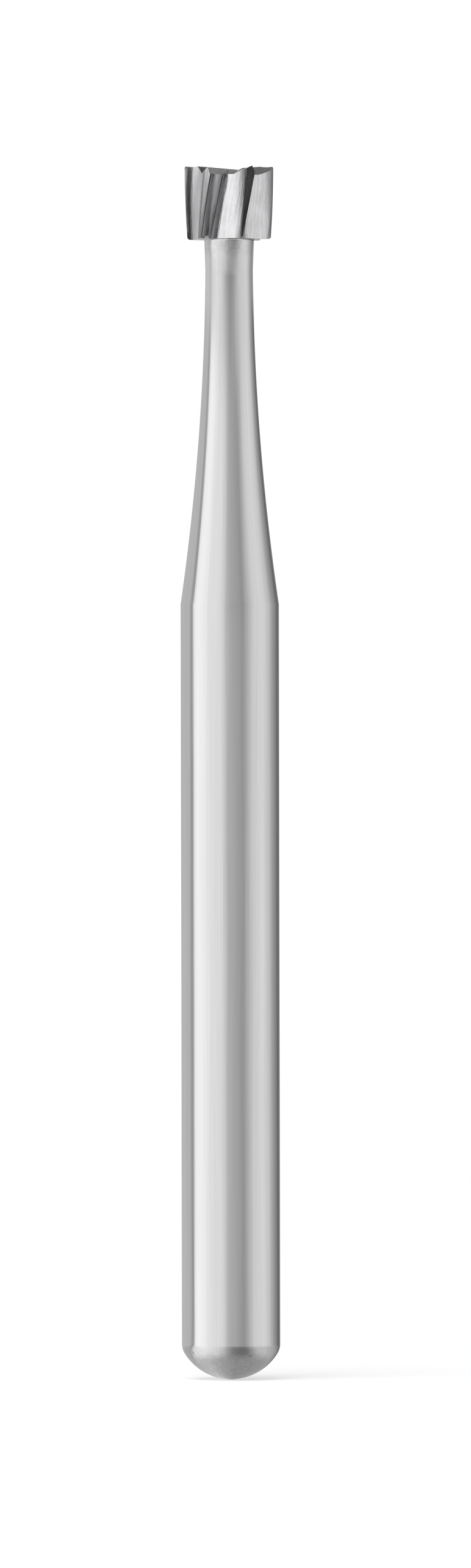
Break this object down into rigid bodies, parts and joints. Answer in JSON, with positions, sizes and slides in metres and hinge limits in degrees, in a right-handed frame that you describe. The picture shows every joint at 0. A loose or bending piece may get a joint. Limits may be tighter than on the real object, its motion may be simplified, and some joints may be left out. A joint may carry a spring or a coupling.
{
  "type": "dental bur",
  "caption": "Inverted-cone dental bur with helical carbide blades on a smooth friction-grip steel shank with a rounded end.",
  "frame": {"origin": "middle of the rounded shank end, on the bur's axis", "axes": "+Z along the axis, from the shank end to the cutting tip; -Y faces the picture's camera"},
  "size_m": [0.0016, 0.0016, 0.0197],
  "materials": {
    "tungsten_carbide": "ground, fine grinding lines along the blades",
    "stainless_steel": "turned and polished, fine lengthwise streaks"
  },
  "bodies": {
    "root": {"cutting_head": "tungsten_carbide", "shank": "stainless_steel"}
  },
  "joints": []
}
